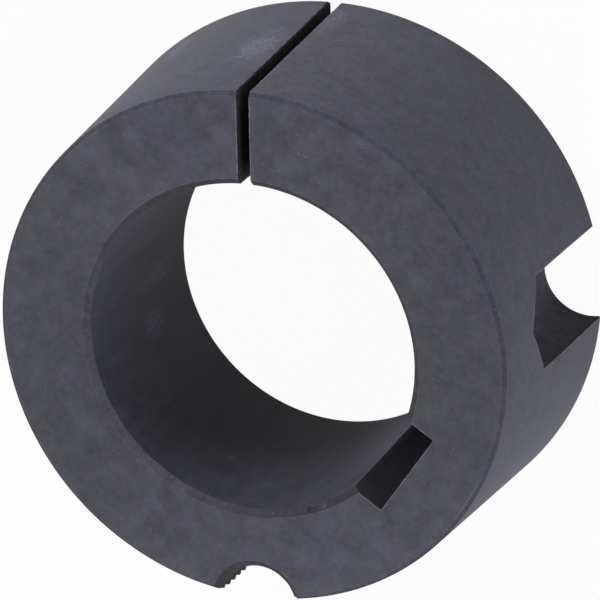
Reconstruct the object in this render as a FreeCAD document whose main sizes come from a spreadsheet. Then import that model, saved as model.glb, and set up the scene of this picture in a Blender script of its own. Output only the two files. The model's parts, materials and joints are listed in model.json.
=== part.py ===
import FreeCAD, Part
import os

import Sketcher
from FreeCAD import Placement, Rotation, Vector

# Split taper bush in cast iron, for a 42 mm shaft. Millimetres and degrees.
# +Z runs along the bore, from the large end (Z = 0) to the small end.
# +X points from the bore's axis to the keyway. Angles are anticlockwise, seen from the small end.

DRIVING_SIZES = (
    ("bore_diameter", 42.0, "shaft size"),
    ("large_end_wall", 13.925, "bore's wall to the seat at the large end, before its rim is broken"),
    ("bush_length", 31.75, "end face to end face"),
    ("taper_half_angle", 4.0, "slope of the seat to the bore's axis"),
    ("bore_chamfer", 0.8, "45 degree lead at both ends of the bore"),
    ("large_rim_chamfer", 0.3, "broken outer edge at the large end"),
    ("small_rim_chamfer", 0.5, "broken outer edge at the small end"),
    ("slit_width", 1.6, "saw cut that lets the bush close"),
    ("slit_angle", 124.2, "keyway to saw cut, at the small end"),
    ("slit_lean", 0.2, "how far the saw cut has run clockwise by the large end"),
    ("keyway_width", 12.0, "key size"),
    ("keyway_depth", 3.4, "keyway's floor, out from the bore's wall"),
    ("screw_circle_inset", 1.4, "screw axes, in from the seat at the large end"),
    ("screw_hole_diameter", 12.0, "plain half hole for a tightening screw"),
    ("screw_hole_depth", 19.2, "full diameter, from the large end"),
    ("screw_hole_count", 2, "plain half holes, evenly round the bush"),
    ("screw_hole_offset", 94.7, "release screw's hole to the first plain half hole"),
    ("drill_point_angle", 118.0, "bottom of each plain half hole"),
    ("release_drill_diameter", 9.25, "hole that the release screw's thread is cut in"),
    ("release_mouth_diameter", 11.6, "countersink of that hole in both end faces"),
    ("release_mouth_depth", 1.2, "depth of the countersink"),
    ("release_offset", 180.4, "saw cut to the release screw's half hole"),
)

LARGE_RADIUS = "sizes.bore_diameter / 2 + sizes.large_end_wall"
SCREW_CIRCLE_RADIUS = f"{LARGE_RADIUS} - sizes.screw_circle_inset"

ORIGIN = -1
HORIZONTAL_AXIS = -1
VERTICAL_AXIS = -2
START, END, CENTRE = range(1, 4)
SMALLEST_CUT = 1.0


def make_sheet(doc):
    """Put each driving size in its own row, with its name as the cell's alias."""
    sheet = doc.addObject("Spreadsheet::Sheet", "sizes")
    for row, (alias, value, meaning) in enumerate(DRIVING_SIZES, start=1):
        sheet.set(f"A{row}", alias)
        sheet.set(f"B{row}", str(value))
        sheet.set(f"C{row}", meaning)
        sheet.setAlias(f"B{row}", alias)
    doc.recompute()
    return sheet


def make_body(doc, name):
    """Start an empty body in the part's own frame."""
    body = doc.addObject("PartDesign::Body", name)
    body.Label = name
    body.Placement = Placement()
    return body


def make_sketch(body, name, plane_role, turn_axis=None, turn=None):
    """Attach a sketch to an origin plane, turned about one of its own axes by an expression."""
    sketch = body.newObject("Sketcher::SketchObject", name)
    plane = next(item for item in body.Origin.OriginFeatures if item.Role == plane_role)
    sketch.AttachmentSupport = [(plane, "")]
    sketch.MapMode = "FlatFace"
    if turn:
        sketch.AttachmentOffset = Placement(Vector(), Rotation(turn_axis, 1.0))
        sketch.setExpression(".AttachmentOffset.Rotation.Angle", turn)
    return sketch


def add_outline(sketch, corners):
    """Join the corners with straight lines into one closed outline, and return the lines."""
    following = corners[1:] + corners[:1]
    lines = [
        sketch.addGeometry(Part.LineSegment(Vector(*first, 0), Vector(*second, 0)), False)
        for first, second in zip(corners, following)
    ]
    for line, after in zip(lines, lines[1:] + lines[:1]):
        sketch.addConstraint(Sketcher.Constraint("Coincident", line, END, after, START))
    return lines


def constrain(sketch, kind, *geometry):
    """Add a constraint that carries no size."""
    sketch.addConstraint(Sketcher.Constraint(kind, *geometry))


def dimension(sketch, name, kind, geometry, start, expression):
    """Add a size that follows an expression, with the value it starts from."""
    index = sketch.addConstraint(Sketcher.Constraint(kind, *geometry, start))
    sketch.renameConstraint(index, name)
    sketch.setExpression(f"Constraints.{name}", expression)


def turn_blank(body, sheet):
    """Turn the ring: parallel end faces, tapered seat, plain bore and broken edges."""
    bore = sheet.bore_diameter / 2
    outer = bore + sheet.large_end_wall
    top = sheet.bush_length
    large_chamfer = sheet.large_rim_chamfer
    small_chamfer = sheet.small_rim_chamfer
    run = large_chamfer + small_chamfer
    lead = sheet.bore_chamfer

    sketch = make_sketch(body, "ring_section", "XZ_Plane")
    corners = [
        (bore + lead, 0.0),
        (outer - large_chamfer, 0.0),
        (outer, large_chamfer),
        (outer - run, top - small_chamfer),
        (outer - run - small_chamfer, top),
        (bore + lead, top),
        (bore, top - lead),
        (bore, lead),
    ]
    large_face, large_rim, seat, small_rim, small_face, small_lead, wall, _ = add_outline(sketch, corners)
    slope = sketch.addGeometry(Part.LineSegment(Vector(outer, 0, 0), Vector(outer - run, top, 0)), True)

    constrain(sketch, "PointOnObject", slope, START, HORIZONTAL_AXIS)
    dimension(sketch, "large_radius", "DistanceX", (ORIGIN, START, slope, START), outer, LARGE_RADIUS)
    dimension(sketch, "height", "DistanceY", (ORIGIN, START, slope, END), top, "sizes.bush_length")
    dimension(sketch, "taper_run", "DistanceX", (slope, END, slope, START), run,
              "sizes.bush_length * tan(sizes.taper_half_angle * 1 deg)")

    constrain(sketch, "PointOnObject", large_face, START, HORIZONTAL_AXIS)
    constrain(sketch, "PointOnObject", large_face, END, HORIZONTAL_AXIS)
    constrain(sketch, "PointOnObject", seat, START, slope)
    constrain(sketch, "PointOnObject", seat, END, slope)
    constrain(sketch, "Horizontal", small_rim, END, slope, END)
    constrain(sketch, "Horizontal", small_face)
    constrain(sketch, "Vertical", large_face, START, small_face, END)
    constrain(sketch, "Vertical", wall)

    dimension(sketch, "large_rim_width", "DistanceX", (large_face, END, slope, START), large_chamfer,
              "sizes.large_rim_chamfer")
    dimension(sketch, "large_rim_height", "DistanceY", (ORIGIN, START, large_rim, END), large_chamfer,
              "sizes.large_rim_chamfer")
    dimension(sketch, "small_rim_height", "DistanceY", (seat, END, slope, END), small_chamfer,
              "sizes.small_rim_chamfer")
    dimension(sketch, "small_rim_width", "DistanceX", (small_rim, END, slope, END), small_chamfer,
              "sizes.small_rim_chamfer")
    dimension(sketch, "bore_radius", "DistanceX", (ORIGIN, START, wall, START), bore,
              "sizes.bore_diameter / 2")
    dimension(sketch, "lead_width", "DistanceX", (wall, START, small_face, END), lead,
              "sizes.bore_chamfer")
    dimension(sketch, "small_lead_height", "DistanceY", (wall, START, small_lead, START), lead,
              "sizes.bore_chamfer")
    dimension(sketch, "large_lead_height", "DistanceY", (ORIGIN, START, wall, END), lead,
              "sizes.bore_chamfer")

    blank = body.newObject("PartDesign::Revolution", "turned_blank")
    blank.Profile = sketch
    blank.ReferenceAxis = (sketch, ["V_Axis"])
    blank.Angle = 360.0


def cut_keyway(body, sheet):
    """Cut the keyway through both end faces, from the bore's axis out along +X."""
    reach = sheet.bore_diameter / 2 + sheet.keyway_depth
    half = sheet.keyway_width / 2
    sketch = make_sketch(body, "keyway_outline", "XY_Plane")
    low, floor, high, inner = add_outline(sketch, [(0.0, -half), (reach, -half), (reach, half), (0.0, half)])
    constrain(sketch, "Horizontal", low)
    constrain(sketch, "Horizontal", high)
    constrain(sketch, "Vertical", floor)
    constrain(sketch, "Symmetric", inner, START, inner, END, ORIGIN, START)
    dimension(sketch, "reach", "DistanceX", (ORIGIN, START, low, END), reach,
              "sizes.bore_diameter / 2 + sizes.keyway_depth")
    dimension(sketch, "width", "DistanceY", (floor, START, floor, END), 2 * half, "sizes.keyway_width")

    keyway = body.newObject("PartDesign::Pocket", "keyway")
    keyway.Profile = sketch
    keyway.Type = "ThroughAll"
    keyway.Reversed = True


def cut_slit(body, sheet):
    """Saw through the wall, from the bore's axis out, with the cut a little out of line with the axis."""
    half = sheet.slit_width / 2
    lean = sheet.slit_lean
    top = sheet.bush_length
    sketch = make_sketch(body, "slit_outline", "XZ_Plane", Vector(0, 1, 0), "sizes.slit_angle + 90")
    corners = [(-half - lean, 0.0), (half - lean, 0.0), (half, top), (-half, top)]
    large_end, right_wall, small_end, left_wall = add_outline(sketch, corners)
    constrain(sketch, "PointOnObject", large_end, START, HORIZONTAL_AXIS)
    constrain(sketch, "Horizontal", large_end)
    constrain(sketch, "Parallel", right_wall, left_wall)
    constrain(sketch, "Symmetric", small_end, START, small_end, END, VERTICAL_AXIS)
    dimension(sketch, "height", "DistanceY", (ORIGIN, START, small_end, START), top, "sizes.bush_length")
    dimension(sketch, "width", "DistanceX", (small_end, END, small_end, START), 2 * half, "sizes.slit_width")
    dimension(sketch, "lean", "DistanceX", (right_wall, START, right_wall, END), lean, "sizes.slit_lean")

    slit = body.newObject("PartDesign::Pocket", "saw_cut")
    slit.Profile = sketch
    slit.Type = "ThroughAll"
    slit.Reversed = True


def drill_screw_hole(doc, body, sheet):
    """Drill the first plain half hole, blind from the large end, on the line of the seat."""
    circle_radius = sheet.bore_diameter / 2 + sheet.large_end_wall - sheet.screw_circle_inset
    turn = "sizes.slit_angle + sizes.release_offset + sizes.screw_hole_offset"
    sketch = make_sketch(body, "screw_hole_centre", "XY_Plane", Vector(0, 0, 1), turn)
    rim = Part.Circle(Vector(circle_radius, 0, 0), Vector(0, 0, 1), sheet.screw_hole_diameter / 2)
    circle = sketch.addGeometry(rim, False)
    constrain(sketch, "PointOnObject", circle, CENTRE, HORIZONTAL_AXIS)
    dimension(sketch, "circle_radius", "DistanceX", (ORIGIN, START, circle, CENTRE), circle_radius,
              SCREW_CIRCLE_RADIUS)
    dimension(sketch, "hole_diameter", "Diameter", (circle,), sheet.screw_hole_diameter,
              "sizes.screw_hole_diameter")
    doc.recompute()

    hole = body.newObject("PartDesign::Hole", "screw_hole")
    hole.Profile = sketch
    doc.recompute()
    hole.Reversed = True
    hole.Threaded = False
    hole.HoleCutType = "None"
    hole.DepthType = "Dimension"
    hole.DrillPoint = "Angled"
    hole.DrillForDepth = False
    hole.setExpression("Diameter", "sizes.screw_hole_diameter")
    hole.setExpression("Depth", "sizes.screw_hole_depth")
    hole.setExpression("DrillPointAngle", "sizes.drill_point_angle")


def repeat_screw_hole(body):
    """Repeat the plain half hole evenly round the bush."""
    hole = body.Tip
    holes = body.newObject("PartDesign::PolarPattern", "screw_holes")
    holes.Originals = [hole]
    holes.Axis = (hole.Profile[0], ["N_Axis"])
    holes.Angle = 360.0
    holes.setExpression("Occurrences", "sizes.screw_hole_count")
    body.Tip = holes


def cut_release_hole(body, sheet):
    """Cut the through half hole that is threaded for the release screw, countersunk at both ends."""
    axis = sheet.bore_diameter / 2 + sheet.large_end_wall - sheet.screw_circle_inset
    drill = sheet.release_drill_diameter / 2
    mouth = sheet.release_mouth_diameter / 2
    depth = sheet.release_mouth_depth
    top = sheet.bush_length

    turn = "sizes.slit_angle + sizes.release_offset"
    sketch = make_sketch(body, "release_hole_section", "XZ_Plane", Vector(0, 1, 0), turn)
    corners = [
        (axis, 0.0),
        (axis - mouth, 0.0),
        (axis - drill, depth),
        (axis - drill, top - depth),
        (axis - mouth, top),
        (axis, top),
    ]
    large_face, large_mouth, wall, small_mouth, small_face, centre = add_outline(sketch, corners)
    constrain(sketch, "PointOnObject", large_face, START, HORIZONTAL_AXIS)
    constrain(sketch, "Horizontal", large_face)
    constrain(sketch, "Horizontal", small_face)
    constrain(sketch, "Vertical", wall)
    constrain(sketch, "Vertical", centre)
    constrain(sketch, "Vertical", large_face, END, small_face, START)
    dimension(sketch, "circle_radius", "DistanceX", (ORIGIN, START, large_face, START), axis,
              SCREW_CIRCLE_RADIUS)
    dimension(sketch, "height", "DistanceY", (ORIGIN, START, centre, START), top, "sizes.bush_length")
    dimension(sketch, "mouth_radius", "DistanceX", (large_face, END, large_face, START), mouth,
              "sizes.release_mouth_diameter / 2")
    dimension(sketch, "drill_radius", "DistanceX", (wall, START, large_face, START), drill,
              "sizes.release_drill_diameter / 2")
    dimension(sketch, "large_mouth_height", "DistanceY", (large_mouth, START, large_mouth, END), depth,
              "sizes.release_mouth_depth")
    dimension(sketch, "small_mouth_height", "DistanceY", (small_mouth, START, small_mouth, END), depth,
              "sizes.release_mouth_depth")
    axis_line = Part.LineSegment(Vector(axis, 0, 0), Vector(axis, top, 0))
    hole_axis = sketch.addGeometry(axis_line, True)
    constrain(sketch, "Coincident", hole_axis, START, large_face, START)
    constrain(sketch, "Coincident", hole_axis, END, centre, START)

    hole = body.newObject("PartDesign::Groove", "release_hole")
    hole.Profile = sketch
    hole.ReferenceAxis = (sketch, ["Axis0"])
    hole.Angle = 360.0


def run_cut(doc, body, step, *sizes):
    """Run one cutting step, and stop if it took nothing away."""
    before = body.Shape.Volume
    step(*sizes)
    doc.recompute()
    if before - body.Shape.Volume < SMALLEST_CUT:
        raise RuntimeError(f"{body.Tip.Name} removed nothing")


def check(doc, bodies):
    """Stop before anything is written if an object failed or a shape isn't sound."""
    for item in doc.Objects:
        if "Invalid" in item.State or "Error" in item.State:
            raise RuntimeError(f"{item.Name} failed: {item.State}")
    for body in bodies:
        if body.Shape.isNull() or not body.Shape.isValid():
            raise RuntimeError(f"{body.Label} has no sound shape")
        if len(body.Shape.Solids) != 1:
            raise RuntimeError(f"{body.Label} is not one solid")


def main():
    """Build the bush and write its solid."""
    doc = FreeCAD.newDocument("taper_bush")
    sheet = make_sheet(doc)
    bush = make_body(doc, "taper_bush")

    turn_blank(bush, sheet)
    doc.recompute()
    run_cut(doc, bush, cut_slit, bush, sheet)
    run_cut(doc, bush, cut_keyway, bush, sheet)
    run_cut(doc, bush, drill_screw_hole, doc, bush, sheet)
    run_cut(doc, bush, repeat_screw_hole, bush)
    run_cut(doc, bush, cut_release_hole, bush, sheet)

    check(doc, [bush])
    os.makedirs("parts", exist_ok=True)
    bush.Shape.exportStep(f"parts/{bush.Label}.step")


main()
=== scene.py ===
import json
import logging
import math
from dataclasses import dataclass, field
from enum import Enum, IntEnum
from typing import NamedTuple

import bmesh
import bpy
from mathutils import Euler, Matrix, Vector

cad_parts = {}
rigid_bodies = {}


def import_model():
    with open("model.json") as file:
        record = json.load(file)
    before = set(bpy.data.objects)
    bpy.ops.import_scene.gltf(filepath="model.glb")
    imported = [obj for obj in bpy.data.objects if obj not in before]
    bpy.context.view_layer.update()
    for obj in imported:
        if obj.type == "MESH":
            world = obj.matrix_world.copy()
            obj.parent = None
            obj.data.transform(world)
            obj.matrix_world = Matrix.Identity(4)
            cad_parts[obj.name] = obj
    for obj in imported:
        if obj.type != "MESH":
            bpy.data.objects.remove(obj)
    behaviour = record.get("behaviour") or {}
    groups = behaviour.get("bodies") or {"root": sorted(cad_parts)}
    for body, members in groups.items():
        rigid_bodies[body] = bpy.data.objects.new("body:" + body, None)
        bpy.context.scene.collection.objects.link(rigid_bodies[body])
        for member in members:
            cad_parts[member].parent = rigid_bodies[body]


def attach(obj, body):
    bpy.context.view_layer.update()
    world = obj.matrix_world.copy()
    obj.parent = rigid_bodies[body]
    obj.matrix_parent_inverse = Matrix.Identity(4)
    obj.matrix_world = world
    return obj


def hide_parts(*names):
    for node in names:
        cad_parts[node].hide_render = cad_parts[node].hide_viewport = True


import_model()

# A split taper bush in dark phosphated iron, standing on its large end.
# Shapes are made in millimetres and scaled to metres when they become an object.

log = logging.getLogger("taper_bush")

METRES_PER_MM = 0.001
NOISE_MIDDLE = 0.5
SAME_ZONE = 0.5
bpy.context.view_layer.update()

Socket = bpy.types.NodeSocket
Value = float | int | bool | tuple | Socket | bpy.types.Material
Inputs = dict[str | int, Value]
Triple = tuple[float, float, float]


class Graph:
    """Adds nodes to a tree and links them, so that a recipe reads as a list of steps."""

    def __init__(self, tree: bpy.types.NodeTree) -> None:
        """Take the tree that the nodes go into."""
        self.tree = tree

    @classmethod
    def of(cls, owner: bpy.types.Material | bpy.types.World) -> "Graph":
        """Empty the tree of a material or a world.

        Args:
            owner: the material or the world.

        Returns:
            The graph that fills its tree.
        """
        owner.use_nodes = True
        owner.node_tree.nodes.clear()
        return cls(owner.node_tree)

    def feed(self, socket: Socket, value: Value) -> None:
        """Link a socket, or set its value where a plain value is given.

        Args:
            socket: the input to fill.
            value: another node's output, or the value itself.
        """
        if isinstance(value, Socket):
            self.tree.links.new(value, socket)
        else:
            socket.default_value = value

    def node(self, kind: str, inputs: Inputs | None = None, **settings: str | bool | int) -> bpy.types.Node:
        """Add one node.

        Args:
            kind: the node's type.
            inputs: what goes into its inputs, by name or by number.
            settings: the node's own options.

        Returns:
            The new node.
        """
        node = self.tree.nodes.new(kind)
        for name, setting in settings.items():
            setattr(node, name, setting)
        for key, value in (inputs or {}).items():
            self.feed(node.inputs[key], value)
        return node

    def math(self, operation: str, *values: Value) -> Socket:
        """Add a Math node and return its result."""
        return self.node("ShaderNodeMath", dict(enumerate(values)), operation=operation).outputs[0]

    def choose(self, share: Value, first: Value, second: Value) -> Socket:
        """Mix two numbers: the first at a share of 0, the second at 1."""
        return self.node("ShaderNodeMix", {0: share, 2: first, 3: second}, data_type="FLOAT").outputs[0]

    def mix(self, share: Value, first: Value, second: Value) -> Socket:
        """Mix two colours: the first at a share of 0, the second at 1.

        Args:
            share: how much of the second colour there is.
            first: a colour's socket or its three parts.
            second: another one.

        Returns:
            The mixed colour.
        """
        colours = [(*colour, 1.0) if isinstance(colour, tuple) else colour for colour in (first, second)]
        inputs = {0: share, 6: colours[0], 7: colours[1]}
        return self.node("ShaderNodeMix", inputs, data_type="RGBA").outputs[2]

    def scale(self, vector: Value, factor: Value) -> Socket:
        """Return a vector or colour times a number."""
        inputs = {0: vector, "Scale": factor}
        return self.node("ShaderNodeVectorMath", inputs, operation="SCALE").outputs[0]

    def length(self, vector: Socket) -> Socket:
        """Return the length of a vector."""
        return self.node("ShaderNodeVectorMath", {0: vector}, operation="LENGTH").outputs["Value"]

    def split(self, vector: Value) -> tuple[Socket, Socket, Socket]:
        """Return a vector's three parts."""
        x, y, z = self.node("ShaderNodeSeparateXYZ", {0: vector}).outputs
        return x, y, z

    def join(self, x: Value, y: Value, z: Value) -> Socket:
        """Return a vector made of three parts."""
        return self.node("ShaderNodeCombineXYZ", {0: x, 1: y, 2: z}).outputs[0]

    def noise(self, place: Socket, scale: float, detail: float) -> Socket:
        """Return a soft noise of so many cells per unit."""
        inputs = {"Vector": place, "Scale": scale, "Detail": detail}
        return self.node("ShaderNodeTexNoise", inputs).outputs[0]

    def from_middle(self, noise: Socket) -> Socket:
        """Return how far a noise is above its middle value."""
        return self.math("SUBTRACT", noise, NOISE_MIDDLE)

    def ramp(self, value: Socket, start: Value, end: Value, low: Value = 0.0, high: Value = 1.0) -> Socket:
        """Ease a value from one range to another, held at both ends.

        Args:
            value: what is mapped.
            start: the value that gives low.
            end: the value that gives high.
            low: the result at start.
            high: the result at end.

        Returns:
            The eased result.
        """
        inputs = {"Value": value, "From Min": start, "From Max": end, "To Min": low, "To Max": high}
        return self.node("ShaderNodeMapRange", inputs, interpolation_type="SMOOTHSTEP").outputs["Result"]


class Zone(IntEnum):
    """Which tool made a face, and how light and how blue it is there. The tones are set to how light each
    face looks under the lamps, so they hold painted light and shade besides the film's own colour.
    """

    SMALL_END = (1, 0.96, 0.55)
    LARGE_END = (2, 0.96, 0.55)
    SEAT = (3, 0.90, 0.76)
    BORE = (4, 0.66, 0.82)
    RIM = (5, 0.66, 0.80)
    LEAD = (6, 0.66, 0.45)
    # The keyway's low tone is partly painted shade in its recess.
    KEYWAY = (7, 0.42, 0.70)
    SAW_CUT = (8, 0.34, 0.20)
    PLAIN_HOLE = (9, 1.25, 0.45)
    THREAD = (10, 0.40, 0.30)

    def __new__(cls, number: int, tone: float, coolness: float) -> "Zone":
        """Keep the tone and the hue beside the number that the finish reads.

        Args:
            number: what is stored on the faces.
            tone: how light the face is, the film's colour with painted light and shade in it.
            coolness: how blue it is, from 0 to 1.

        Returns:
            The zone, which counts as its number.
        """
        zone = int.__new__(cls, number)
        zone._value_, zone.tone, zone.coolness = number, tone, coolness
        return zone

    @staticmethod
    def attribute() -> str:
        """Return the name of the face attribute that holds the zone."""
        return "made_by"


class SolidRecipe(Graph):
    """A Geometry Nodes tree with named sizes, which is turned into one plain mesh object."""

    def __init__(self, name: str) -> None:
        """Start an empty tree with one mesh as its result.

        Args:
            name: what the tree and its object are called.
        """
        super().__init__(bpy.data.node_groups.new(name, "GeometryNodeTree"))
        self.name = name
        self.tree.interface.new_socket("Geometry", in_out="OUTPUT", socket_type="NodeSocketGeometry")
        self.entry = self.tree.nodes.new("NodeGroupInput")
        self.settings: dict[str, Value] = {}

    def size(self, name: str, value: Value, kind: str = "NodeSocketFloat") -> Socket:
        """Add a named input to the tree, and note the value that the modifier gets.

        Args:
            name: what the input is called.
            value: its value in this bush.
            kind: the type of its socket.

        Returns:
            The socket that carries it.
        """
        item = self.tree.interface.new_socket(name, in_out="INPUT", socket_type=kind)
        self.settings[item.identifier] = value
        return self.entry.outputs[name]

    def place(self, solid: Socket, position: Value = (0.0, 0.0, 0.0), turn: Value = 0.0) -> Socket:
        """Turn a solid about Z, then move it.

        Args:
            solid: the geometry.
            position: how far it moves.
            turn: degrees about Z.

        Returns:
            The placed geometry.
        """
        rotation = self.join(0.0, 0.0, self.math("RADIANS", turn))
        inputs = {"Geometry": solid, "Translation": position, "Rotation": rotation}
        return self.node("GeometryNodeTransform", inputs).outputs[0]

    def shift(self, solid: Socket, offset: Socket, selection: Value = True) -> Socket:
        """Move the points of a solid by a field."""
        inputs = {"Geometry": solid, "Selection": selection, "Offset": offset}
        return self.node("GeometryNodeSetPosition", inputs).outputs[0]

    def position(self) -> Socket:
        """Return each point's position."""
        return self.node("GeometryNodeInputPosition").outputs[0]

    def mark(self, solid: Socket, zone: Value) -> Socket:
        """Note on each face which tool made it.

        Args:
            solid: the geometry.
            zone: the zone's number, or a field of numbers.

        Returns:
            The marked geometry.
        """
        inputs = {"Geometry": solid, "Name": Zone.attribute(), "Value": zone}
        stored = self.node("GeometryNodeStoreNamedAttribute", inputs, data_type="FLOAT", domain="FACE")
        return stored.outputs[0]

    def make(self, result: Socket, finish: bpy.types.Material) -> bpy.types.Object:
        """Scale the result to metres, give it its finish and turn it into a plain mesh object.

        Args:
            result: the finished geometry, in millimetres.
            finish: the material that covers it.

        Returns:
            The new object, at the origin, with no modifier left on it.
        """
        scale = (METRES_PER_MM,) * 3
        scaled = self.node("GeometryNodeTransform", {"Geometry": result, "Scale": scale}).outputs[0]
        realized = self.node("GeometryNodeRealizeInstances", {"Geometry": scaled}).outputs[0]
        material = self.size("Finish", finish, "NodeSocketMaterial")
        covered = self.node("GeometryNodeSetMaterial", {"Geometry": realized, "Material": material})
        self.node("NodeGroupOutput", {0: covered.outputs[0]})

        solid = add_object(self.name, bpy.data.meshes.new(self.name))
        modifier = solid.modifiers.new(self.name, "NODES")
        modifier.node_group = self.tree
        for identifier, value in self.settings.items():
            modifier[identifier] = value
        depsgraph = bpy.context.evaluated_depsgraph_get()
        evaluated = solid.evaluated_get(depsgraph)
        mesh = bpy.data.meshes.new_from_object(
            evaluated, preserve_all_data_layers=True, depsgraph=depsgraph)
        solid.modifiers.clear()
        solid.data = mesh
        return solid


def add_object(name: str, data: bpy.types.ID) -> bpy.types.Object:
    """Add an object to the scene.

    Args:
        name: what it is called.
        data: its mesh, camera or lamp.

    Returns:
        The new object, at the origin.
    """
    added = bpy.data.objects.new(name, data)
    bpy.context.scene.collection.objects.link(added)
    return added


@dataclass(frozen=True)
class TurnedRing:
    """The ring before anything is cut into it: plain bore, tapered seat, parallel ends."""

    bore_radius: float = 21.0
    large_end_wall: float = 13.925
    length: float = 31.75
    taper_half_angle: float = 4.0
    bore_chamfer: float = 0.8
    large_rim_chamfer: float = 0.3
    small_rim_chamfer: float = 0.5
    edge_rounding: float = 0.1
    screw_circle_inset: float = 1.4
    tool_overrun: float = 1.0
    end_facing: float = 0.9
    side_facing: float = 0.3
    facets: int = 360

    @property
    def large_radius(self) -> float:
        """Radius of the seat's line in the plane of the large end."""
        return self.bore_radius + self.large_end_wall

    @property
    def screw_circle_radius(self) -> float:
        """Radius of the circle that the half holes are drilled on."""
        return self.large_radius - self.screw_circle_inset

    @property
    def cut_length(self) -> float:
        """Length of a tool that runs past both ends."""
        return self.length + 2 * self.tool_overrun

    def build(self, recipe: SolidRecipe) -> Socket:
        """Sweep the ring's section round the bore.

        Args:
            recipe: the tree that the nodes go into.

        Returns:
            The closed ring.
        """
        bore = recipe.size("Bore Radius", self.bore_radius)
        wall = recipe.size("Large End Wall", self.large_end_wall)
        length = recipe.size("Length", self.length)
        taper = recipe.size("Taper Half Angle", self.taper_half_angle)
        lead = recipe.size("Bore Chamfer", self.bore_chamfer)
        large_rim = recipe.size("Large Rim Chamfer", self.large_rim_chamfer)
        small_rim = recipe.size("Small Rim Chamfer", self.small_rim_chamfer)
        rounding = recipe.size("Edge Rounding", self.edge_rounding)

        slope = recipe.math("TANGENT", recipe.math("RADIANS", taper))
        small_end_wall = recipe.math("SUBTRACT", wall, recipe.math("MULTIPLY", length, slope))
        down = recipe.math("MULTIPLY", length, -1.0)
        halfway = recipe.math("MULTIPLY", length, -0.5)
        corners = {
            "Point 1": (0.0, 0.0, 0.0),
            "Point 2": recipe.join(wall, 0.0, 0.0),
            "Point 3": recipe.join(small_end_wall, down, 0.0),
            "Point 4": recipe.join(0.0, down, 0.0),
        }
        section = recipe.node("GeometryNodeCurvePrimitiveQuadrilateral", corners, mode="POINTS").outputs[0]
        across, below, _ = recipe.split(recipe.position())
        rim = recipe.choose(recipe.math("LESS_THAN", below, halfway), large_rim, small_rim)
        chamfer = recipe.choose(recipe.math("LESS_THAN", across, lead), rim, lead)
        chamfered = self._fillet(recipe, section, 1, chamfer)
        rounded = self._fillet(recipe, chamfered, 2, rounding)

        round_bore = {"Resolution": self.facets, "Radius": bore}
        circle = recipe.node("GeometryNodeCurvePrimitiveCircle", round_bore).outputs[0]
        path = recipe.node("GeometryNodeSetCurveNormal", {"Curve": circle}, mode="Z_UP").outputs[0]
        sweep = {"Curve": path, "Profile Curve": rounded}
        solid = recipe.node("GeometryNodeCurveToMesh", sweep).outputs[0]
        return recipe.mark(solid, self._zones(recipe))

    def _zones(self, recipe: SolidRecipe) -> Socket:
        """Tell the turned faces apart by how they face and where they lie.

        Args:
            recipe: the tree that the nodes go into.

        Returns:
            The number of each face's zone.
        """
        x, y, z = recipe.split(recipe.position())
        normal = recipe.node("GeometryNodeInputNormal").outputs[0]
        facing = recipe.math("ABSOLUTE", recipe.split(normal)[2])
        radius = recipe.length(recipe.join(x, y, 0.0))
        outside = recipe.math("GREATER_THAN", radius, self.bore_radius + self.large_end_wall / 2)
        upper = recipe.math("GREATER_THAN", z, self.length / 2)
        end = recipe.choose(upper, Zone.LARGE_END, Zone.SMALL_END)
        side = recipe.choose(outside, Zone.BORE, Zone.SEAT)
        corner = recipe.choose(outside, Zone.LEAD, Zone.RIM)
        sloped = recipe.choose(recipe.math("GREATER_THAN", facing, self.side_facing), side, corner)
        return recipe.choose(recipe.math("GREATER_THAN", facing, self.end_facing), sloped, end)

    @staticmethod
    def _fillet(recipe: SolidRecipe, curve: Socket, count: int, radius: Socket) -> Socket:
        """Cut or round every corner of a section."""
        inputs = {"Curve": curve, "Count": count, "Radius": radius, "Limit Radius": True}
        return recipe.node("GeometryNodeFilletCurve", inputs, mode="POLY").outputs[0]


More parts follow.
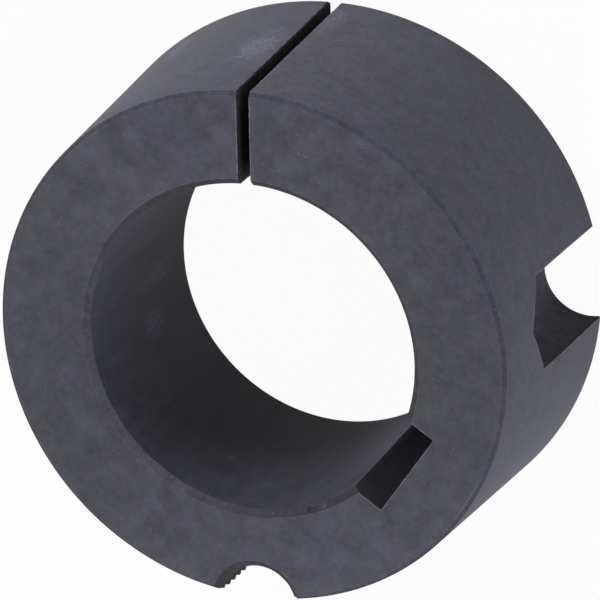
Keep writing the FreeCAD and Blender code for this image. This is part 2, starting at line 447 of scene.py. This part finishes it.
@dataclass(frozen=True)
class SawCut:
    """The cut that lets the bush close, with slightly ragged walls and one outer lip worn round."""

    width: float = 1.6
    angle: float = 124.2
    lean: float = 0.2
    inner_reach: float = 18.0
    outer_reach: float = 38.0
    raggedness: float = 0.26
    bite: float = 2.8
    bite_detail: float = 2.0
    step: float = 0.15
    lip_rounding: float = 0.25
    worn_lip_height: float = 3.0
    worn_lip_share: float = 1.7

    def build(self, recipe: SolidRecipe, ring: TurnedRing) -> Socket:
        """Make the saw's cutter.

        Args:
            recipe: the tree that the nodes go into.
            ring: the ring that is cut.

        Returns:
            The closed cutter.
        """
        width = recipe.size("Saw Cut Width", self.width)
        angle = recipe.size("Saw Cut Angle", self.angle)
        lean = recipe.size("Saw Cut Lean", self.lean)
        deep = self.outer_reach - self.inner_reach
        grid = {
            "Size": recipe.join(deep, width, ring.cut_length),
            "Vertices X": round(deep / self.step),
            "Vertices Y": 2,
            "Vertices Z": round(ring.cut_length / self.step),
        }
        blade = recipe.node("GeometryNodeMeshCube", grid).outputs[0]

        place = recipe.position()
        noise = recipe.noise(place, self.bite, self.bite_detail)
        ragged = recipe.math("MULTIPLY", recipe.from_middle(noise), self.raggedness)
        above = recipe.math("DIVIDE", recipe.split(place)[2], ring.length)
        drift = recipe.math("MULTIPLY", recipe.math("SUBTRACT", 0.5, above), lean)
        swelling = self._lip(recipe, ring, place)
        sideways = recipe.math("ADD", recipe.math("SUBTRACT", ragged, drift), swelling)
        leaning = recipe.shift(blade, recipe.join(0.0, sideways, 0.0))
        middle = (self.inner_reach + deep / 2, 0.0, ring.length / 2)
        return recipe.mark(recipe.place(recipe.place(leaning, middle), turn=angle), Zone.SAW_CUT)

    def _lip(self, recipe: SolidRecipe, ring: TurnedRing, place: Socket) -> Socket:
        """Swell one side of the blade where it leaves the seat, which rounds that lip.

        Args:
            recipe: the tree that the nodes go into.
            ring: the ring that is cut.
            place: a point's position, from the blade's middle.

        Returns:
            The swelling in millimetres, largest at the seat.
        """
        rounding = recipe.size("Saw Cut Lip Rounding", self.lip_rounding)
        across, sideways, above = recipe.split(place)
        height = recipe.math("ADD", above, ring.length / 2)
        slope = math.tan(math.radians(ring.taper_half_angle))
        middle = (self.inner_reach + self.outer_reach) / 2
        seat = recipe.math("MULTIPLY_ADD", height, -slope, ring.large_radius - middle)
        worn = recipe.ramp(height, self.worn_lip_height, 0.0, 1.0, self.worn_lip_share)
        radius = recipe.math("MULTIPLY", rounding, worn)
        past = recipe.math("ADD", recipe.math("SUBTRACT", across, seat), radius)
        held = recipe.math("MINIMUM", recipe.math("MAXIMUM", past, 0.0), radius)
        squares = [recipe.math("MULTIPLY", side, side) for side in (radius, held)]
        left = recipe.math("SQRT", recipe.math("SUBTRACT", *squares))
        swelling = recipe.math("SUBTRACT", radius, left)
        return recipe.math("MULTIPLY", swelling, recipe.math("GREATER_THAN", sideways, 0.0))


@dataclass(frozen=True)
class Keyway:
    """The broached seat for the key, along +X."""

    width: float = 12.0
    depth: float = 3.4

    def build(self, recipe: SolidRecipe, ring: TurnedRing) -> Socket:
        """Make the broach's cutter.

        Args:
            recipe: the tree that the nodes go into.
            ring: the ring that is cut.

        Returns:
            The closed cutter.
        """
        width = recipe.size("Keyway Width", self.width)
        depth = recipe.size("Keyway Depth", self.depth)
        floor = recipe.math("ADD", depth, ring.bore_radius)
        block = recipe.node("GeometryNodeMeshCube", {"Size": recipe.join(floor, width, ring.cut_length)})
        middle = recipe.join(recipe.math("MULTIPLY", floor, 0.5), 0.0, ring.length / 2)
        return recipe.mark(recipe.place(block.outputs[0], middle), Zone.KEYWAY)


@dataclass(frozen=True)
class PlainHalfHoles:
    """The blind half holes for the tightening screws, drilled from the large end."""

    count: int = 2
    diameter: float = 12.0
    depth: float = 19.2
    point_angle: float = 118.0
    first_angle: float = 39.3
    tip_reach: float = 0.01
    facets: int = 96

    def build(self, recipe: SolidRecipe, ring: TurnedRing) -> Socket:
        """Make one drill and repeat it on the screw circle.

        Args:
            recipe: the tree that the nodes go into.
            ring: the ring that is cut.

        Returns:
            The closed drills.
        """
        first = recipe.size("First Plain Hole Angle", self.first_angle)
        count = recipe.size("Plain Hole Count", self.count, "NodeSocketInt")
        step = recipe.math("DIVIDE", math.tau, count)
        around = recipe.math("MULTIPLY", recipe.node("GeometryNodeInputIndex").outputs[0], step)
        across = recipe.math("MULTIPLY", recipe.math("COSINE", around), ring.screw_circle_radius)
        along = recipe.math("MULTIPLY", recipe.math("SINE", around), ring.screw_circle_radius)
        circle = {"Count": count, "Position": recipe.join(across, along, 0.0)}
        centres = recipe.node("GeometryNodePoints", circle).outputs[0]
        pattern = {"Points": centres, "Instance": self._drill(recipe, ring)}
        drills = recipe.node("GeometryNodeInstanceOnPoints", pattern).outputs[0]
        real = recipe.node("GeometryNodeRealizeInstances", {"Geometry": drills}).outputs[0]
        return recipe.mark(recipe.place(real, turn=first), Zone.PLAIN_HOLE)

    def _drill(self, recipe: SolidRecipe, ring: TurnedRing) -> Socket:
        """Make one drill on the bore's axis, its point up.

        Args:
            recipe: the tree that the nodes go into.
            ring: the ring that is cut.

        Returns:
            The closed drill.
        """
        diameter = recipe.size("Plain Hole Diameter", self.diameter)
        depth = recipe.size("Plain Hole Depth", self.depth)
        point = recipe.size("Drill Point Angle", self.point_angle)

        radius = recipe.math("MULTIPLY", diameter, 0.5)
        tall = recipe.math("ADD", depth, ring.tool_overrun)
        rod = {"Vertices": self.facets, "Radius": radius, "Depth": tall}
        shank = recipe.node("GeometryNodeMeshCylinder", rod, fill_type="TRIANGLE_FAN").outputs[0]
        x, y, z = recipe.split(recipe.position())
        central = recipe.math("LESS_THAN", recipe.length(recipe.join(x, y, 0.0)), self.tip_reach)
        tip = recipe.math("MULTIPLY", central, recipe.math("GREATER_THAN", z, 0.0))
        half_point = recipe.math("RADIANS", recipe.math("MULTIPLY", point, 0.5))
        point_height = recipe.math("DIVIDE", radius, recipe.math("TANGENT", half_point))
        drill = recipe.shift(shank, recipe.join(0.0, 0.0, point_height), tip)
        raised = recipe.math("MULTIPLY", recipe.math("SUBTRACT", depth, ring.tool_overrun), 0.5)
        return recipe.place(drill, recipe.join(0.0, 0.0, raised))


@dataclass(frozen=True)
class ReleaseThread:
    """The half hole for the release screw, threaded right through with a real right-hand thread."""

    pitch: float = 1.814
    major_diameter: float = 11.11
    drill_diameter: float = 9.25
    mouth_diameter: float = 11.6
    mouth_depth: float = 1.2
    flank_angle: float = 27.5
    crest_share: float = 1 / 6
    root_rounding: float = 0.18
    crest_rounding: float = 0.06
    angle: float = 304.6
    start: float = 0.4355
    facets: int = 96
    rows_per_turn: int = 18

    def build(self, recipe: SolidRecipe, ring: TurnedRing) -> Socket:
        """Make the tap: a rod whose radius follows the thread as it winds up.

        Args:
            recipe: the tree that the nodes go into.
            ring: the ring that is cut.

        Returns:
            The closed tap.
        """
        angle = recipe.size("Release Hole Angle", self.angle)
        drill = recipe.math("MULTIPLY", recipe.size("Tap Drill Diameter", self.drill_diameter), 0.5)
        rows = round(ring.cut_length / self.pitch * self.rows_per_turn)
        rod = {"Vertices": self.facets, "Side Segments": rows, "Radius": 1.0, "Depth": ring.cut_length}
        shank = recipe.node("GeometryNodeMeshCylinder", rod, fill_type="NGON").outputs[0]
        x, y, z = recipe.split(recipe.position())

        thread = self._thread(recipe, (x, y, z), drill)
        radius = recipe.math("MAXIMUM", thread, self._mouth(recipe, ring, z, drill))
        sized = recipe.join(recipe.math("MULTIPLY", x, radius), recipe.math("MULTIPLY", y, radius), z)
        tap = recipe.node("GeometryNodeSetPosition", {"Geometry": shank, "Position": sized}).outputs[0]
        upright = recipe.place(tap, (ring.screw_circle_radius, 0.0, ring.length / 2))
        return recipe.mark(recipe.place(upright, turn=angle), Zone.THREAD)

    def _thread(self, recipe: SolidRecipe, place: tuple[Socket, Socket, Socket], drill: Socket) -> Socket:
        """Return the radius of the thread round the rod and along it.

        Args:
            recipe: the tree that the nodes go into.
            place: a point's position on a rod of radius 1.
            drill: the radius of the hole before it is tapped.

        Returns:
            The radius in millimetres.
        """
        x, y, z = place
        pitch = recipe.size("Thread Pitch", self.pitch)
        start = recipe.size("Thread Start", self.start)
        major = recipe.math("MULTIPLY", recipe.size("Thread Diameter", self.major_diameter), 0.5)
        turns = recipe.math("DIVIDE", recipe.math("ARCTAN2", y, x), math.tau)
        climb = recipe.math("SUBTRACT", recipe.math("DIVIDE", z, pitch), turns)
        winds = recipe.math("FRACT", recipe.math("ADD", climb, start))
        within = recipe.math("ABSOLUTE", recipe.math("SUBTRACT", winds, 0.5))
        along = recipe.math("MULTIPLY", within, pitch)
        slope = math.tan(math.radians(self.flank_angle))
        full_height = self.pitch / (2 * slope)
        peak = recipe.math("ADD", major, full_height * self.crest_share)
        flank = recipe.math("SUBTRACT", peak, recipe.math("DIVIDE", along, slope))
        root = recipe.math("SMOOTH_MIN", flank, major, self.root_rounding)
        return recipe.math("SMOOTH_MAX", root, drill, self.crest_rounding)

    def _mouth(self, recipe: SolidRecipe, ring: TurnedRing, z: Socket, drill: Socket) -> Socket:
        """Return the radius of the countersinks at both ends.

        Args:
            recipe: the tree that the nodes go into.
            ring: the ring that is cut.
            z: the height above the rod's middle.
            drill: the radius of the hole before it is tapped.

        Returns:
            The radius in millimetres, which falls away from each end.
        """
        mouth = recipe.math("MULTIPLY", recipe.size("Mouth Diameter", self.mouth_diameter), 0.5)
        mouth_depth = recipe.size("Mouth Depth", self.mouth_depth)
        from_end = recipe.math("SUBTRACT", ring.length / 2, recipe.math("ABSOLUTE", z))
        narrowing = recipe.math("DIVIDE", recipe.math("SUBTRACT", mouth, drill), mouth_depth)
        return recipe.math("SUBTRACT", mouth, recipe.math("MULTIPLY", narrowing, from_end))


class PaintedSideLight(Enum):
    """Painted light and shade round the bush: which zone is lighter on one side and darker on the other as
    the lamps fall on it, how many lobes go round it, the azimuth of one, and by how much.
    """

    RIM = (Zone.RIM, 1, 75.0, 0.20)
    LEAD = (Zone.LEAD, 1, 250.0, 0.27)
    LEAD_TWICE = (Zone.LEAD, 2, 65.0, 0.20)
    SMALL_END = (Zone.SMALL_END, 2, 140.0, 0.07)

    def __init__(self, zone: Zone, lobes: int, azimuth: float, lighter: float) -> None:
        """Name the parts of the value."""
        self.zone, self.lobes, self.azimuth, self.lighter = zone, lobes, azimuth, lighter


class Mark(Enum):
    """A mark in the film, or a painted reflection: where it is, how far it reaches, how much lighter it is,
    and if it is patchy.

    Places are a radius in mm, an azimuth in degrees and a height in mm, and reaches are in the same terms.
    """

    RUB_BY_SAW_CUT = ((33.8, 130.8, 16.5), (1.0, 5.6, 8.5), 0.80)
    RUB_PAST_SAW_CUT = ((34.5, 120.8, 6.0), (1.0, 3.0, 7.5), 0.55)
    STREAK_ON_SEAT = ((34.4, 155.8, 7.3), (1.0, 3.0, 5.0), 0.55)
    SMEAR_ON_END = ((31.6, 96.8, 31.75), (0.7, 3.2, 1.0), 0.30)
    SCRATCH_ON_END = ((28.05, -175.4, 31.75), (0.16, 3.0, 1.0), 0.35)
    FAINT_SCRATCH = ((26.7, 108.5, 31.75), (0.18, 4.0, 1.0), 0.30)
    SECOND_SCRATCH = ((25.9, 110.5, 31.75), (0.16, 2.5, 1.0), 0.30)
    # A light line along the end face's outer edge: partly wear, partly a painted highlight.
    LINE_BY_RIM = ((32.15, 4.5, 31.75), (0.16, 9.0, 1.0), 0.55)
    NICK_ON_BORE_TOP = ((21.4, 150.2, 31.6), (0.5, 1.2, 0.8), 0.90)
    NICK_ON_BORE_LOW = ((21.3, -30.5, 31.5), (0.5, 1.9, 0.8), 0.80)
    SECOND_NICK_LOW = ((21.3, -35.5, 31.5), (0.5, 1.3, 0.8), -0.60)
    SMUDGE_IN_BORE = ((21.0, -131.1, 13.0), (1.0, 7.0, 5.0), 0.90)
    SECOND_SMUDGE = ((21.0, -146.0, 10.0), (1.0, 5.0, 7.0), 0.80)
    SPOT_IN_BORE = ((21.0, -76.4, 19.7), (1.0, 2.4, 1.0), 1.10)
    # Painted reflection: the bore wall by the keyway is lightened where it would mirror the pale floor at a
    # grazing angle; it is smooth, not patchy.
    SHEEN_BY_KEYWAY = ((21.0, -9.0, 1.0), (1.0, 42.0, 26.0), 2.30, False)

    def __init__(self, centre: Triple, reach: Triple, lighter: float, patchy: bool = True) -> None:
        """Name the parts of the value."""
        self.centre, self.reach, self.lighter, self.patchy = centre, reach, lighter, patchy


class Ease(NamedTuple):
    """A ramp: the values at which it starts and ends, and its results there."""

    start: float
    end: float
    low: float = 0.0
    high: float = 1.0


@dataclass(frozen=True)
class NoiseScales:
    """How fine the film's noises are, in cells per millimetre."""

    clouds: float = 0.10
    blotches: float = 0.42
    mottle: float = 1.4
    grain: float = 3.4
    streaks: float = 0.90
    streak_stretch: float = 0.12
    detail: float = 4.0


class SurfacePoint:
    """What the finish reads about a point: where it lies, which tool made it, and its noises."""

    def __init__(self, graph: Graph, scales: NoiseScales) -> None:
        """Read the position and the zone, and make the noises.

        Args:
            graph: the material's nodes.
            scales: how fine the noises are.
        """
        self.graph = graph
        coordinates = graph.node("ShaderNodeTexCoord").outputs["Object"]
        self.place = graph.scale(coordinates, 1.0 / METRES_PER_MM)
        self.x, self.y, self.z = graph.split(self.place)
        self.radius = graph.length(graph.join(self.x, self.y, 0.0))
        self.azimuth = graph.math("DEGREES", graph.math("ARCTAN2", self.y, self.x))
        self.zone = graph.node("ShaderNodeAttribute", attribute_name=Zone.attribute()).outputs["Fac"]
        self.clouds = graph.noise(self.place, scales.clouds, scales.detail)
        self.blotches = graph.noise(self.place, scales.blotches, scales.detail)
        self.grain = graph.noise(self.place, scales.grain, scales.detail)
        mottle = graph.noise(self.place, scales.mottle, scales.detail)
        flattened = graph.join(self.x, self.y, graph.math("MULTIPLY", self.z, scales.streak_stretch))
        streaks = graph.noise(flattened, scales.streaks, scales.detail)
        self.mottle = graph.choose(self.is_in(Zone.BORE), mottle, streaks)

    def is_in(self, zone: Zone) -> Socket:
        """Return 1 on the faces of one zone and 0 on the others."""
        return self.graph.math("COMPARE", self.zone, zone, SAME_ZONE)

    def is_up_to(self, zone: Zone) -> Socket:
        """Return 1 on the faces of the zones numbered up to this one and 0 on the others."""
        return self.graph.math("LESS_THAN", self.zone, zone + SAME_ZONE)


@dataclass(frozen=True)
class PhosphatedIron:
    """Dark phosphated cast iron: blotched grey, semi-matt, with tool marks, lighter edges that are partly
    wear and partly a painted highlight, and painted light, shade and reflection in its tones.
    """

    name: str = "phosphated_iron"
    cool: Triple = (0.0548, 0.0556, 0.0870)
    neutral: Triple = (0.0600, 0.0600, 0.0655)
    # worn is the colour of the lighter edges: rubbed film with a painted highlight.
    worn: Triple = (0.165, 0.166, 0.178)
    speck: Triple = (0.190, 0.190, 0.195)
    noises: NoiseScales = NoiseScales()
    cloud_hue: float = 0.5
    blotch_tone: float = 0.80
    mottle_tone: float = 0.65
    grain_tone: float = 0.45
    line_tone: float = 0.16
    sides_livelier: float = 1.35
    roughness: float = 0.50
    roughness_spread: float = 0.16
    coarser: float = 0.40
    specular: float = 0.35
    line_scale: float = 4.5
    line_detail: float = 3.0
    saw_line_slope: float = 0.4
    line_height: float = 0.7
    grain_height: float = 0.5
    bump_strength: float = 0.5
    bump_depth: float = 0.00003
    mark_fray: float = 2.4
    mark_edge: Ease = Ease(1.0, 0.2)
    mark_patches: Ease = Ease(0.40, 0.60, 0.3, 1.7)
    speck_scale: float = 0.66
    speck_edge: Ease = Ease(0.062, 0.0372, 0.0, 0.6)
    # The edge settings make the outward edges lighter: partly wear, partly a painted highlight.
    edge_reach: float = 0.00035
    edge_samples: int = 8
    rubbed_and_highlit_edge_ramp: Ease = Ease(0.99, 0.90, 0.0, 0.8)
    edge_patches: Ease = Ease(0.42, 0.60, 0.35, 1.0)

    def build(self) -> bpy.types.Material:
        """Make the material.

        Returns:
            A material that reads Object coordinates and the zone attribute.
        """
        material = bpy.data.materials.new(self.name)
        graph = Graph.of(material)
        point = SurfacePoint(graph, self.noises)
        lines = self._tool_lines(point)
        specked = graph.mix(self._specks(point), self._film(point, lines), self.speck)
        # Lighter edges: rubbed film and a painted highlight.
        edged = graph.mix(self._rubbed_and_highlit_edges(point), specked, self.worn)

        spread = graph.math("MULTIPLY", graph.from_middle(point.blotches), self.roughness_spread)
        coarser = graph.choose(point.is_up_to(Zone.BORE), self.coarser, 0.0)
        roughness = graph.math("ADD", coarser, graph.math("ADD", spread, self.roughness))
        line_height = graph.math("MULTIPLY", lines, self.line_height)
        height = graph.math("MULTIPLY_ADD", point.grain, self.grain_height, line_height)
        relief = {"Strength": self.bump_strength, "Distance": self.bump_depth, "Height": height}
        bump = graph.node("ShaderNodeBump", relief)
        shader = graph.node("ShaderNodeBsdfPrincipled", {
            "Base Color": edged,
            "Roughness": roughness,
            "Specular IOR Level": self.specular,
            "Normal": bump.outputs[0],
        })
        graph.node("ShaderNodeOutputMaterial", {0: shader.outputs[0]})
        return material

    def _film(self, point: SurfacePoint, lines: Socket) -> Socket:
        """Return the film's colour with its painted light, shade and reflection, before its specks and its
        lighter edges.

        Args:
            point: the point that is coloured.
            lines: the tool lines there.

        Returns:
            The colour that the zone, the marks and the noises give.
        """
        graph = point.graph
        zone_tone, zone_coolness = self._zone_values(point)
        coolness = graph.math("MULTIPLY_ADD", graph.from_middle(point.clouds), self.cloud_hue, zone_coolness)
        tint = graph.mix(coolness, self.neutral, self.cool)
        livelier = graph.choose(point.is_up_to(Zone.LARGE_END), self.sides_livelier, 1.0)
        patterns = (
            (point.blotches, self.blotch_tone),
            (point.mottle, self.mottle_tone),
            (point.grain, self.grain_tone),
            (lines, self.line_tone),
        )
        tone = self._marks(point)
        for pattern, share in patterns:
            amount = graph.math("MULTIPLY", livelier, share)
            tone = graph.math("MULTIPLY_ADD", graph.from_middle(pattern), amount, tone)
        shade = graph.math("MULTIPLY", graph.math("ADD", tone, 1.0), zone_tone)
        return graph.scale(tint, shade)

    @staticmethod
    def _zone_values(point: SurfacePoint) -> tuple[Socket, Socket]:
        """Return how light and how blue the point's zone is, with its painted light and shade.

        Args:
            point: the point that is coloured.

        Returns:
            The tone, with the painted light and shade of the lobes that go round the bush, and the coolness.
        """
        graph = point.graph
        tone, coolness = 0.0, 0.0
        for zone in Zone:
            here = point.is_in(zone)
            tone = graph.math("MULTIPLY_ADD", here, zone.tone, tone)
            coolness = graph.math("MULTIPLY_ADD", here, zone.coolness, coolness)
        for side in PaintedSideLight:
            turned = graph.math("MULTIPLY", graph.math("SUBTRACT", point.azimuth, side.azimuth), side.lobes)
            wave = graph.math("COSINE", graph.math("RADIANS", turned))
            here = graph.math("MULTIPLY", point.is_in(side.zone), wave)
            tone = graph.math("MULTIPLY_ADD", here, side.lighter, tone)
        return tone, coolness

    def _tool_lines(self, point: SurfacePoint) -> Socket:
        """Return fine lines that follow the tool which made each face.

        Args:
            point: the point that is coloured.

        Returns:
            A value that changes only across the tool's path.
        """
        graph = point.graph
        broached = graph.math("ADD", point.x, point.y)
        sawn = graph.math("MULTIPLY_ADD", point.z, self.saw_line_slope, point.radius)
        across = graph.choose(point.is_up_to(Zone.LARGE_END), point.z, point.radius)
        across = graph.choose(point.is_in(Zone.KEYWAY), across, broached)
        across = graph.choose(point.is_in(Zone.SAW_CUT), across, sawn)
        wave = {"W": across, "Scale": self.line_scale, "Detail": self.line_detail}
        return graph.node("ShaderNodeTexNoise", wave, noise_dimensions="1D").outputs[0]

    def _marks(self, point: SurfacePoint) -> Socket:
        """Return how much the local marks and the painted reflection lighten the film.

        Args:
            point: the point that is coloured.

        Returns:
            The sum of the marks at the point.
        """
        graph = point.graph
        total = 0.0
        cylinder = graph.join(point.radius, point.azimuth, point.z)
        fray = graph.math("MULTIPLY", graph.from_middle(point.mottle), self.mark_fray)
        patches = graph.ramp(point.grain, *self.mark_patches)
        for mark in Mark:
            inputs = {"Vector": cylinder, "Location": mark.centre, "Scale": mark.reach}
            local = graph.node("ShaderNodeMapping", inputs, vector_type="TEXTURE").outputs[0]
            distance = graph.length(local)
            if mark.patchy:
                frayed = graph.ramp(graph.math("ADD", distance, fray), *self.mark_edge)
                inside = graph.math("MULTIPLY", frayed, patches)
            else:
                inside = graph.ramp(distance, *self.mark_edge)
            total = graph.math("MULTIPLY_ADD", inside, mark.lighter, total)
        return total

    def _specks(self, point: SurfacePoint) -> Socket:
        """Return the share of the light specks at a point.

        Args:
            point: the point that is coloured.

        Returns:
            The share, which is above 0 only close to the middle of a noise cell.
        """
        cells = {"Vector": point.place, "Scale": self.speck_scale}
        distance = point.graph.node("ShaderNodeTexVoronoi", cells).outputs["Distance"]
        return point.graph.ramp(distance, *self.speck_edge)

    def _rubbed_and_highlit_edges(self, point: SurfacePoint) -> Socket:
        """Return how far the outward edges are lightened: partly film rubbed through, partly a painted
        highlight of the rounded edges catching the light.

        Args:
            point: the point that is coloured.

        Returns:
            The share of the lighter edge colour.
        """
        graph = point.graph
        bevel = graph.node("ShaderNodeBevel", {"Radius": self.edge_reach}, samples=self.edge_samples)
        plain = graph.node("ShaderNodeNewGeometry").outputs["True Normal"]
        both = graph.node("ShaderNodeVectorMath", {0: bevel.outputs[0], 1: plain}, operation="DOT_PRODUCT")
        edge = graph.ramp(both.outputs["Value"], *self.rubbed_and_highlit_edge_ramp)
        patches = graph.ramp(point.mottle, *self.edge_patches)
        return graph.math("MULTIPLY", graph.math("MULTIPLY", edge, point.is_up_to(Zone.BORE)), patches)


@dataclass
class TaperBush:
    """The whole bush: the turned ring and everything that is cut into it."""

    ring: TurnedRing = field(default_factory=TurnedRing)
    saw_cut: SawCut = field(default_factory=SawCut)
    keyway: Keyway = field(default_factory=Keyway)
    plain_holes: PlainHalfHoles = field(default_factory=PlainHalfHoles)
    release_thread: ReleaseThread = field(default_factory=ReleaseThread)
    finish: PhosphatedIron = field(default_factory=PhosphatedIron)
    sharp_angle: float = 12.0
    weld_distance: float = 1e-7

    def build(self) -> bpy.types.Object:
        """Cut the ring and dress it.

        Returns:
            The bush, in place of the solid of the same name.
        """
        recipe = SolidRecipe("bush_body")
        ring = self.ring.build(recipe)
        cutting = recipe.node("GeometryNodeMeshBoolean", {"Mesh 1": ring}, operation="DIFFERENCE")
        for cut in (self.saw_cut, self.keyway, self.plain_holes, self.release_thread):
            recipe.tree.links.new(cut.build(recipe, self.ring), cutting.inputs["Mesh 2"])
        bush = recipe.make(cutting.outputs[0], self.finish.build())
        self._shade(bush.data)
        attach(bush, "root")
        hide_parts("taper_bush")
        return bush

    def _shade(self, mesh: bpy.types.Mesh) -> None:
        """Weld the mesh, round its shading within a surface and keep it sharp between surfaces.

        Args:
            mesh: the bush's mesh.
        """
        work = bmesh.new()
        work.from_mesh(mesh)
        bmesh.ops.remove_doubles(work, verts=work.verts, dist=self.weld_distance)
        bmesh.ops.dissolve_degenerate(work, edges=work.edges, dist=self.weld_distance)
        bmesh.ops.recalc_face_normals(work, faces=work.faces)
        limit = math.radians(self.sharp_angle)
        for face in work.faces:
            face.smooth = True
        for edge in work.edges:
            edge.smooth = edge.is_manifold and edge.calc_face_angle() < limit
        open_edges = sum(not edge.is_manifold for edge in work.edges)
        log.info("bush body: %d faces, %d open edges, volume %.1f mm3",
                 len(work.faces), open_edges, work.calc_volume() / METRES_PER_MM ** 3)
        marked = work.faces.layers.float[Zone.attribute()]
        for zone in Zone:
            count = sum(round(face[marked]) == zone for face in work.faces)
            log.info("%s: %d faces", zone.name.lower(), count)
        work.to_mesh(mesh)
        work.free()


@dataclass(frozen=True)
class PhotoCamera:
    """The camera at the photograph's viewing angle: in front of the saw cut, looking steeply down."""

    name: str = "photo_camera"
    location: Triple = (0.044549, 0.260021, 0.487384)
    turn: tuple[float, float, float, float] = (0.9180252, -0.2214813, 0.1189017, 0.3066566)
    lens: float = 261.364
    sensor: float = 36.0
    nearest: float = 0.01
    farthest: float = 10.0

    def build(self) -> bpy.types.Object:
        """Make the camera and look through it.

        Returns:
            The camera.
        """
        data = bpy.data.cameras.new(self.name)
        data.lens = self.lens
        data.sensor_width = self.sensor
        data.clip_start, data.clip_end = self.nearest, self.farthest
        camera = add_object(self.name, data)
        camera.rotation_mode = "QUATERNION"
        camera.location, camera.rotation_quaternion = self.location, self.turn
        bpy.context.scene.camera = camera
        return camera


class Lamp(Enum):
    """Each soft lamp: azimuth and elevation in degrees, size in metres, power in watts."""

    BACK_LEFT = (166.0, 30.0, 0.6, 7.5)
    BACK_LOW = (150.0, 12.0, 0.8, 6.0)
    RIGHT_LOW = (358.0, 20.0, 0.8, 7.2)
    RIGHT_HIGH = (25.0, 42.0, 0.6, 2.5)
    FRONT_LOW = (295.0, 14.0, 0.8, 7.0)
    LEFT_LOW = (225.0, 12.0, 0.8, 4.0)


@dataclass(frozen=True)
class Studio:
    """Pale floor, pale surroundings and soft lamps."""

    surroundings: float = 0.26
    lamp_distance: float = 1.1
    floor_half: float = 3.0
    floor_drop: float = 0.00002
    floor_white: float = 0.96
    floor_mirrored: float = 0.25
    floor_grey: float = 0.5

    def build(self) -> None:
        """Make the floor, the surroundings and the lamps."""
        self._floor()
        self._world()
        for lamp in Lamp:
            self._lamp(lamp)
        bpy.context.scene.view_settings.view_transform = "Standard"

    def _floor(self) -> None:
        """Lay the pale floor, which keeps a soft shadow of the bush."""
        half, low = self.floor_half, -self.floor_drop
        corners = [(-half, -half, low), (half, -half, low), (half, half, low), (-half, half, low)]
        mesh = bpy.data.meshes.new("floor")
        mesh.from_pydata(corners, [], [(0, 1, 2, 3)])
        floor = add_object("floor", mesh)

        material = bpy.data.materials.new("pale_floor")
        graph = Graph.of(material)
        matt = graph.node("ShaderNodeBsdfDiffuse", {"Color": (*(self.floor_grey,) * 3, 1.0)}).outputs[0]
        white = graph.node("ShaderNodeEmission", {"Strength": 1.0}).outputs[0]
        path = graph.node("ShaderNodeLightPath").outputs
        mirrored = graph.math("MULTIPLY", path["Is Glossy Ray"], self.floor_mirrored)
        share = graph.math("MULTIPLY_ADD", path["Is Camera Ray"], self.floor_white, mirrored)
        mixed = graph.node("ShaderNodeMixShader", {0: share, 1: matt, 2: white}).outputs[0]
        graph.node("ShaderNodeOutputMaterial", {0: mixed})
        mesh.materials.append(material)

    def _world(self) -> None:
        """Light the bush from all round, and show white to the camera."""
        world = bpy.data.worlds.new("studio")
        graph = Graph.of(world)
        path = graph.node("ShaderNodeLightPath").outputs
        seen = graph.math("MAXIMUM", path["Is Camera Ray"], path["Is Transmission Ray"])
        strength = graph.choose(seen, self.surroundings, 1.0)
        white = {"Color": (1.0, 1.0, 1.0, 1.0), "Strength": strength}
        background = graph.node("ShaderNodeBackground", white).outputs[0]
        graph.node("ShaderNodeOutputWorld", {0: background})
        bpy.context.scene.world = world

    def _lamp(self, lamp: Lamp) -> None:
        """Hang one soft lamp and aim it at the bush.

        Args:
            lamp: which lamp it is.
        """
        azimuth, elevation, size, power = lamp.value
        data = bpy.data.lights.new(f"lamp_{lamp.name.lower()}", "AREA")
        data.shape, data.size, data.energy = "DISK", size, power
        light = add_object(data.name, data)
        turn = Euler((0.0, -math.radians(elevation), math.radians(azimuth)))
        light.location = turn.to_matrix() @ Vector((self.lamp_distance, 0.0, 0.0))
        light.rotation_mode = "QUATERNION"
        light.rotation_quaternion = (-light.location).to_track_quat("-Z", "Y")


def main() -> None:
    """Build the bush, the camera and the studio, and note the sizes."""
    logging.basicConfig(level=logging.INFO, format="%(name)s: %(message)s")
    bush = TaperBush().build()
    log.info("%s: %d vertices", bush.name, len(bush.data.vertices))
    PhotoCamera().build()
    Studio().build()


if __name__ == "__main__":
    main()
